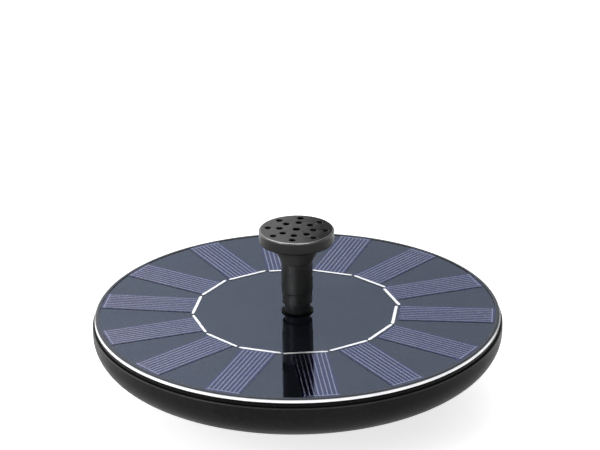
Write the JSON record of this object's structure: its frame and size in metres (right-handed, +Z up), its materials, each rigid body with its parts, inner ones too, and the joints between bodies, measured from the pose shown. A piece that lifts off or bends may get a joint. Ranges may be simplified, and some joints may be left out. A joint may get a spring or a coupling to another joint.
{
  "type": "floating solar fountain pump",
  "caption": "Round floating solar fountain: solar panel on a dish-shaped float, submersible pump in a recess below with a slotted filter basket, and a push-on multi-jet nozzle above.",
  "frame": {"origin": "centre of the flat underside of the filter basket, which the object rests on", "axes": "+Z up, along the fountain's axis from the filter basket to the nozzle; the pump rotor's axis is parallel to Y and the power cable leaves the pump towards +Y"},
  "size_m": [0.16, 0.16, 0.0691],
  "materials": {
    "black_plastic": "fine-textured moulded black plastic",
    "gloss_black_plastic": "smooth black plastic",
    "black_rubber": "soft black rubber",
    "clear_panel_sheet": "clear glossy resin",
    "silicon_cell": "dark blue-violet silicon with fine silver fingers",
    "tinned_ribbon": "bright tinned ribbon",
    "black_board": "blue-black laminate",
    "white_foam": "closed-cell foam",
    "filter_sponge": "open-cell black sponge",
    "steel": "plain steel",
    "enamelled_copper": "enamelled copper winding",
    "ferrite": "moulded dark ferrite",
    "white_ceramic": "ground white ceramic",
    "green_circuit_board": "circuit board",
    "potting_resin": "black potting resin",
    "white_acetal": "moulded white acetal"
  },
  "bodies": {
    "float": {"lower_shell": "black_plastic", "bezel_ring": "gloss_black_plastic", "panel_gasket": "black_rubber", "panel_backing_board": "black_board", "solar_cell_01": "silicon_cell", "solar_cell_02": "silicon_cell", "solar_cell_03": "silicon_cell", "solar_cell_04": "silicon_cell", "solar_cell_05": "silicon_cell", "solar_cell_06": "silicon_cell", "solar_cell_07": "silicon_cell", "solar_cell_08": "silicon_cell", "solar_cell_09": "silicon_cell", "solar_cell_10": "silicon_cell", "solar_cell_11": "silicon_cell", "solar_cell_12": "silicon_cell", "solar_cell_13": "silicon_cell", "solar_cell_14": "silicon_cell", "cell_ribbon_01": "tinned_ribbon", "cell_ribbon_02": "tinned_ribbon", "cell_ribbon_03": "tinned_ribbon", "cell_ribbon_04": "tinned_ribbon", "cell_ribbon_05": "tinned_ribbon", "cell_ribbon_06": "tinned_ribbon", "cell_ribbon_07": "tinned_ribbon", "cell_ribbon_08": "tinned_ribbon", "cell_ribbon_09": "tinned_ribbon", "cell_ribbon_10": "tinned_ribbon", "cell_ribbon_11": "tinned_ribbon", "cell_ribbon_12": "tinned_ribbon", "cell_ribbon_13": "tinned_ribbon", "cell_ribbon_14": "tinned_ribbon", "panel_front_sheet": "clear_panel_sheet", "float_foam": "white_foam", "outlet_collar": "black_rubber", "pump_housing": "black_plastic", "spigot_o_ring": "black_rubber", "volute_cover": "black_plastic", "cover_o_ring": "black_rubber", "stator_core": "steel", "stator_coil_1": "enamelled_copper", "stator_coil_2": "enamelled_copper", "stator_coil_3": "enamelled_copper", "stator_coil_4": "enamelled_copper", "driver_board": "green_circuit_board", "potting_plug": "potting_resin", "power_cable": "black_rubber", "cable_grommet": "black_rubber", "pump_screw_left": "steel", "pump_screw_right": "steel", "shaft_bush_front": "black_rubber", "shaft_bush_rear": "black_rubber", "rotor_shaft": "white_ceramic"},
    "rotor": {"impeller": "white_acetal", "rotor_magnet": "ferrite"},
    "filter": {"filter_basket": "black_plastic", "filter_sponge": "filter_sponge"},
    "riser": {"nozzle_riser": "black_plastic"},
    "nozzle_head": {"nozzle_funnel": "black_plastic", "nozzle_cap": "black_plastic"}
  },
  "joints": [
    {"name": "rotor_spin", "type": "hinge", "parent": "float", "child": "rotor", "pos_m": [0, 0.006, 0.016], "axis": [0, 1, 0], "continuous": true},
    {"name": "filter_pull", "type": "slide", "parent": "float", "child": "filter", "axis": [0, 0, -1], "range_m": [0, 0.03]},
    {"name": "riser_lift", "type": "slide", "parent": "float", "child": "riser", "axis": [0, 0, 1], "range_m": [0, 0.015]},
    {"name": "head_turn", "type": "hinge", "parent": "riser", "child": "nozzle_head", "pos_m": [0, 0, 0.06], "axis": [0, 0, 1], "continuous": true}
  ]
}
